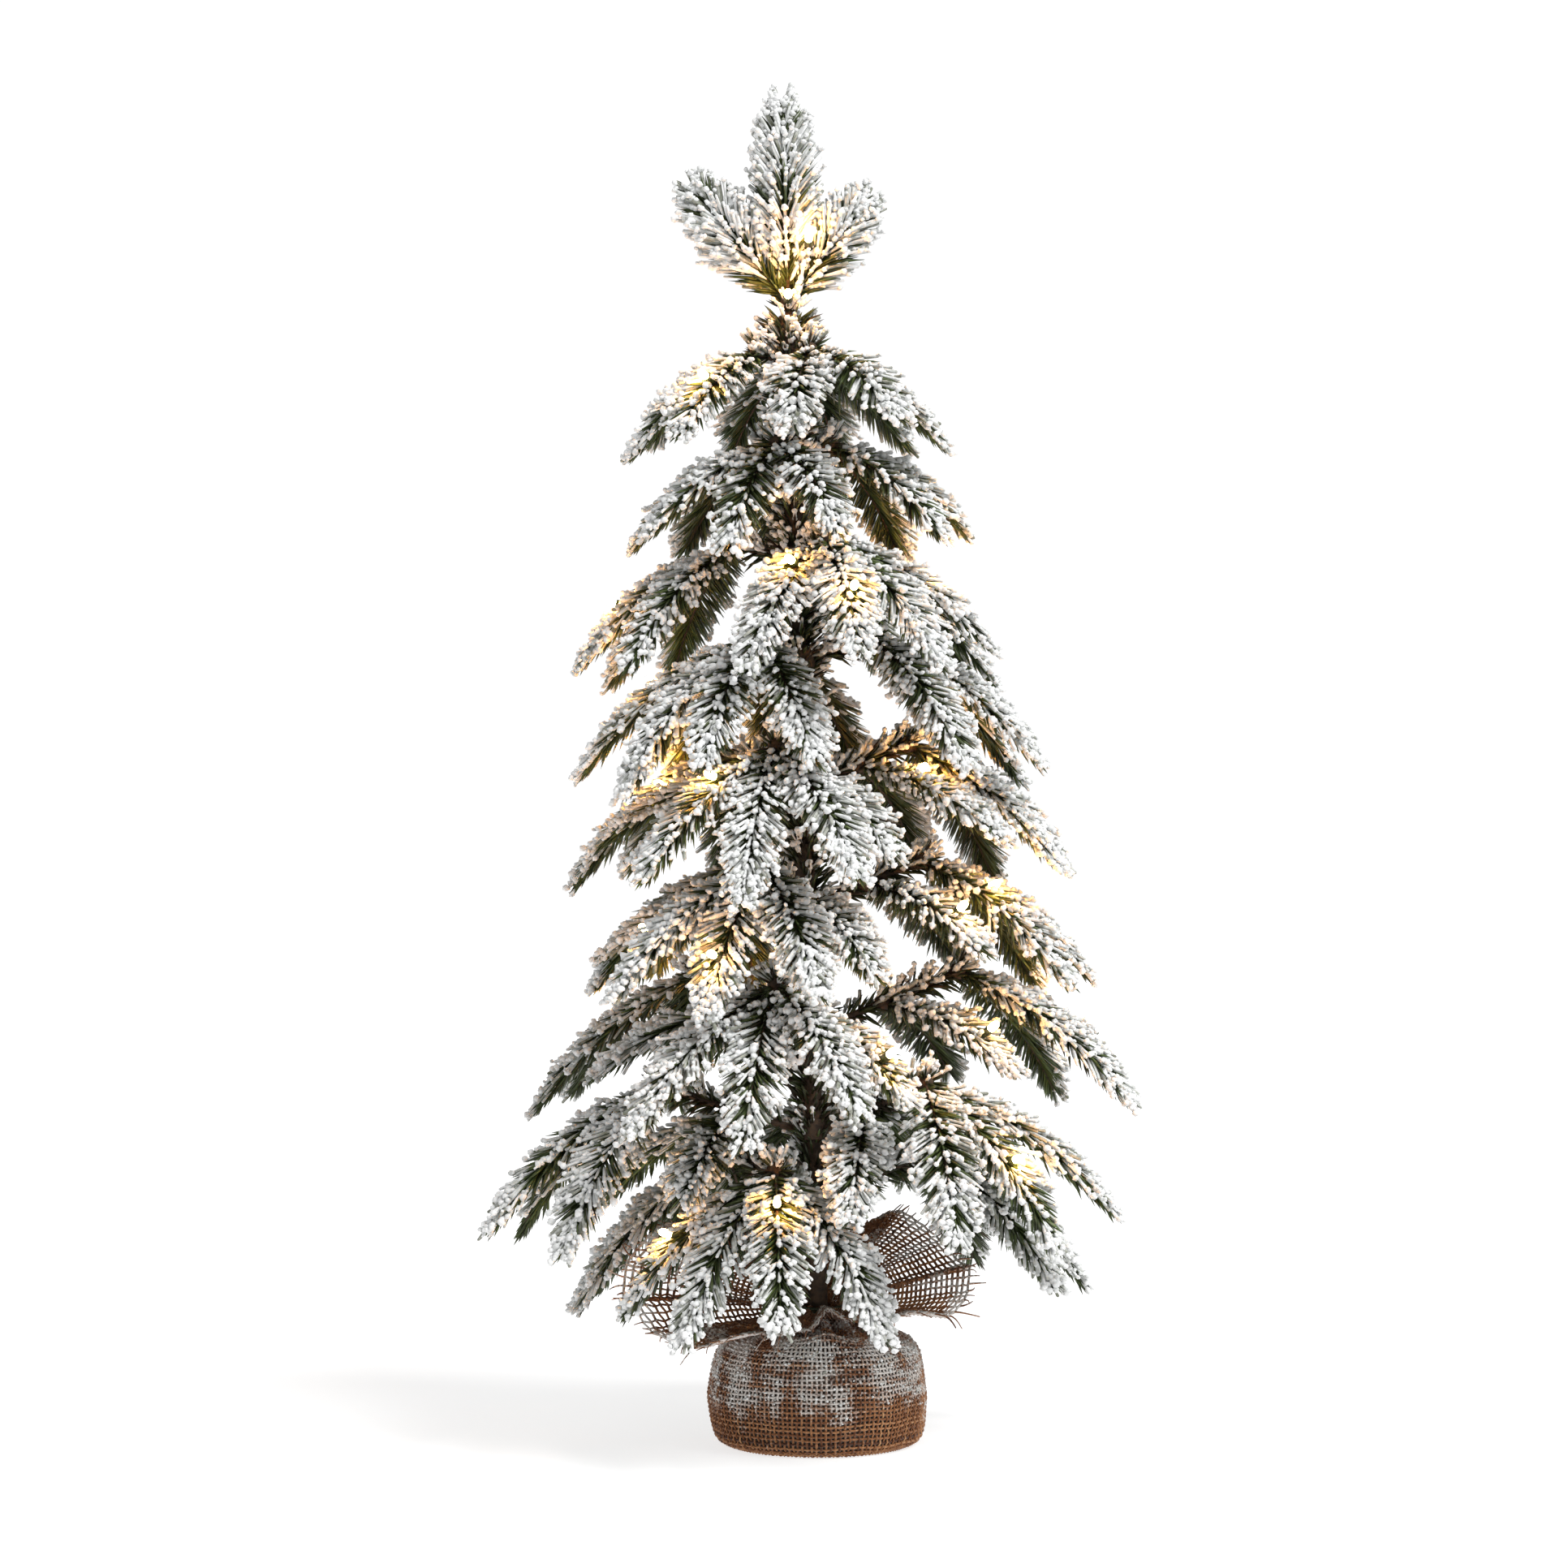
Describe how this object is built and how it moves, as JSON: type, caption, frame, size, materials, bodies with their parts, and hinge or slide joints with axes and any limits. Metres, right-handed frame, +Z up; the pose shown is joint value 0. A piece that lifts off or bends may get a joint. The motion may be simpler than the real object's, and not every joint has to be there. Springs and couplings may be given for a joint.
{
  "type": "lit tabletop tree",
  "caption": "Pre-lit flocked tabletop tree on a weighted burlap base, with bendable wire branches and an upright leader.",
  "frame": {"origin": "centre of the base's underside, on the surface that the tree stands on", "axes": "+Z up the tree, the front faces -Y, +X to the right seen from the front"},
  "size_m": [0.2992, 0.2934, 0.6099],
  "materials": {
    "cement": "rough cast",
    "burlap": "open jute weave with flock on it",
    "tie_wire": "satin",
    "case": "fine texture",
    "cells": "satin sleeve",
    "contacts": "bright",
    "board": "solder mask",
    "slider": "matte",
    "screw": "zinc",
    "steel": "drawn",
    "bark_tape": "crinkled",
    "lead": "satin",
    "flocked_sprigs": "moulded needles with snow flock",
    "lamps": "clear"
  },
  "bodies": {
    "stand": {"cement_weight": "cement", "burlap_wrap": "burlap", "neck_tie": "tie_wire", "battery_case": "case", "battery_cells": "cells", "contact_leaves": "contacts", "contact_plates": "contacts", "timer_board": "board", "switch_housing": "case", "trunk_pole": "steel", "trunk_wrap": "bark_tape", "branch_bindings": "bark_tape", "light_cable": "lead"},
    "cover": {"battery_cover": "case", "cover_screw": "screw"},
    "slider": {"switch_slider": "slider"},
    "top": {"leader": "flocked_sprigs", "leader_lamps": "lamps"},
    "bough_01": {"branch_01": "flocked_sprigs", "lamps_01": "lamps"},
    "bough_02": {"branch_02": "flocked_sprigs"},
    "bough_03": {"branch_03": "flocked_sprigs"},
    "bough_04": {"branch_04": "flocked_sprigs"},
    "bough_05": {"branch_05": "flocked_sprigs"},
    "bough_06": {"branch_06": "flocked_sprigs"},
    "bough_07": {"branch_07": "flocked_sprigs", "lamps_07": "lamps"},
    "bough_08": {"branch_08": "flocked_sprigs", "lamps_08": "lamps"},
    "bough_09": {"branch_09": "flocked_sprigs", "lamps_09": "lamps"},
    "bough_10": {"branch_10": "flocked_sprigs", "lamps_10": "lamps"},
    "bough_11": {"branch_11": "flocked_sprigs"},
    "bough_12": {"branch_12": "flocked_sprigs"},
    "bough_13": {"branch_13": "flocked_sprigs", "lamps_13": "lamps"},
    "bough_14": {"branch_14": "flocked_sprigs", "lamps_14": "lamps"},
    "bough_15": {"branch_15": "flocked_sprigs", "lamps_15": "lamps"},
    "bough_16": {"branch_16": "flocked_sprigs", "lamps_16": "lamps"},
    "bough_17": {"branch_17": "flocked_sprigs", "lamps_17": "lamps"},
    "bough_18": {"branch_18": "flocked_sprigs"},
    "bough_19": {"branch_19": "flocked_sprigs", "lamps_19": "lamps"},
    "bough_20": {"branch_20": "flocked_sprigs", "lamps_20": "lamps"},
    "bough_21": {"branch_21": "flocked_sprigs", "lamps_21": "lamps"},
    "bough_22": {"branch_22": "flocked_sprigs", "lamps_22": "lamps"},
    "bough_23": {"branch_23": "flocked_sprigs"},
    "bough_24": {"branch_24": "flocked_sprigs"},
    "bough_25": {"branch_25": "flocked_sprigs", "lamps_25": "lamps"},
    "bough_26": {"branch_26": "flocked_sprigs"},
    "bough_27": {"branch_27": "flocked_sprigs"}
  },
  "joints": [
    {"name": "cover_lift", "type": "slide", "parent": "stand", "child": "cover", "axis": [0, 0, -1], "range_m": [0, 0.03]},
    {"name": "switch_slide", "type": "slide", "parent": "stand", "child": "slider", "axis": [0, 1, 0], "range_m": [-0.0018, 0.0018]},
    {"name": "leader_bend", "type": "hinge", "parent": "stand", "child": "top", "pos_m": [-0.01338, 0, 0.5118], "axis": [0, 1, 0], "range_deg": [-12, 12]},
    {"name": "branch_01_bend", "type": "hinge", "parent": "stand", "child": "bough_01", "pos_m": [-0.02078, -0.00143, 0.49239], "axis": [-0.1764, 0.9843, -0.0052], "range_deg": [-20, 18]},
    {"name": "branch_02_bend", "type": "hinge", "parent": "stand", "child": "bough_02", "pos_m": [-0.00792, -0.00645, 0.49277], "axis": [-0.7964, -0.6043, -0.0236], "range_deg": [-20, 18]},
    {"name": "branch_03_bend", "type": "hinge", "parent": "stand", "child": "bough_03", "pos_m": [-0.01058, 0.00779, 0.49269], "axis": [0.9608, -0.2757, 0.0285], "range_deg": [-20, 18]},
    {"name": "branch_04_bend", "type": "hinge", "parent": "stand", "child": "bough_04", "pos_m": [-0.0147, -0.00745, 0.44937], "axis": [-0.9196, 0.3919, -0.0273], "range_deg": [-15, 20]},
    {"name": "branch_05_bend", "type": "hinge", "parent": "stand", "child": "bough_05", "pos_m": [-0.00357, 0.00148, 0.4497], "axis": [0.1827, -0.9832, 0.0054], "range_deg": [-15, 20]},
    {"name": "branch_06_bend", "type": "hinge", "parent": "stand", "child": "bough_06", "pos_m": [-0.01698, 0.00599, 0.4493], "axis": [0.7395, 0.6728, 0.0219], "range_deg": [-15, 20]},
    {"name": "branch_07_bend", "type": "hinge", "parent": "stand", "child": "bough_07", "pos_m": [-0.01811, 0.00125, 0.40151], "axis": [0.1547, 0.988, 0.0046], "range_deg": [-12, 15]},
    {"name": "branch_08_bend", "type": "hinge", "parent": "stand", "child": "bough_08", "pos_m": [-0.00625, -0.00712, 0.40186], "axis": [-0.8787, -0.4767, -0.0261], "range_deg": [-12, 15]},
    {"name": "branch_09_bend", "type": "hinge", "parent": "stand", "child": "bough_09", "pos_m": [-0.00533, 0.00654, 0.40188], "axis": [0.8064, -0.5908, 0.0239], "range_deg": [-12, 15]},
    {"name": "branch_10_bend", "type": "hinge", "parent": "stand", "child": "bough_10", "pos_m": [-0.0136, -0.0065, 0.35606], "axis": [-0.8017, 0.5973, -0.0238], "range_deg": [-6, 10]},
    {"name": "branch_11_bend", "type": "hinge", "parent": "stand", "child": "bough_11", "pos_m": [-0.00067, -0.00018, 0.35645], "axis": [-0.0229, -0.9997, -0.0007], "range_deg": [-6, 10]},
    {"name": "branch_12_bend", "type": "hinge", "parent": "stand", "child": "bough_12", "pos_m": [-0.01169, 0.00755, 0.35612], "axis": [0.9317, 0.3622, 0.0277], "range_deg": [-6, 10]},
    {"name": "branch_13_bend", "type": "hinge", "parent": "stand", "child": "bough_13", "pos_m": [-0.00894, -0.00789, 0.30021], "axis": [-0.9734, 0.2273, -0.0289], "range_deg": [-12, 8]},
    {"name": "branch_14_bend", "type": "hinge", "parent": "stand", "child": "bough_14", "pos_m": [0.00068, 0.00224, 0.3005], "axis": [0.2758, -0.9612, 0.0082], "range_deg": [-12, 8]},
    {"name": "branch_15_bend", "type": "hinge", "parent": "stand", "child": "bough_15", "pos_m": [-0.01248, 0.00605, 0.30011], "axis": [0.7471, 0.6644, 0.0222], "range_deg": [-12, 8]},
    {"name": "branch_16_bend", "type": "hinge", "parent": "stand", "child": "bough_16", "pos_m": [-0.0084, -0.00756, 0.24604], "axis": [-0.9328, 0.3593, -0.0277], "range_deg": [-8, 18]},
    {"name": "branch_17_bend", "type": "hinge", "parent": "stand", "child": "bough_17", "pos_m": [0.00259, 0.00036, 0.24637], "axis": [0.0445, -0.999, 0.0013], "range_deg": [-8, 18]},
    {"name": "branch_18_bend", "type": "hinge", "parent": "stand", "child": "bough_18", "pos_m": [-0.0101, 0.00666, 0.24599], "axis": [0.8221, 0.5689, 0.0244], "range_deg": [-8, 18]},
    {"name": "branch_19_bend", "type": "hinge", "parent": "stand", "child": "bough_19", "pos_m": [-0.00549, -0.00792, 0.18886], "axis": [-0.9775, 0.209, -0.029], "range_deg": [-10, 12]},
    {"name": "branch_20_bend", "type": "hinge", "parent": "stand", "child": "bough_20", "pos_m": [0.00415, 0.00155, 0.18915], "axis": [0.1907, -0.9816, 0.0057], "range_deg": [-10, 12]},
    {"name": "branch_21_bend", "type": "hinge", "parent": "stand", "child": "bough_21", "pos_m": [-0.00981, 0.00542, 0.18873], "axis": [0.6693, 0.7427, 0.0199], "range_deg": [-10, 12]},
    {"name": "branch_22_bend", "type": "hinge", "parent": "stand", "child": "bough_22", "pos_m": [0.00327, -0.00577, 0.1428], "axis": [-0.7114, -0.7025, -0.0211], "range_deg": [-10, 12]},
    {"name": "branch_23_bend", "type": "hinge", "parent": "stand", "child": "bough_23", "pos_m": [0, 0.00773, 0.14271], "axis": [0.9537, -0.2993, 0.0283], "range_deg": [-10, 12]},
    {"name": "branch_24_bend", "type": "hinge", "parent": "stand", "child": "bough_24", "pos_m": [-0.01008, -0.00263, 0.14241], "axis": [-0.3244, 0.9459, -0.0096], "range_deg": [-10, 12]},
    {"name": "branch_25_bend", "type": "hinge", "parent": "stand", "child": "bough_25", "pos_m": [-0.00407, -0.00769, 0.11198], "axis": [-0.9485, 0.3154, -0.0282], "range_deg": [-12, 12]},
    {"name": "branch_26_bend", "type": "hinge", "parent": "stand", "child": "bough_26", "pos_m": [0.00626, 0.00224, 0.11228], "axis": [0.2765, -0.961, 0.0082], "range_deg": [-12, 12]},
    {"name": "branch_27_bend", "type": "hinge", "parent": "stand", "child": "bough_27", "pos_m": [-0.00742, 0.00554, 0.11188], "axis": [0.6839, 0.7293, 0.0203], "range_deg": [-12, 12]}
  ]
}
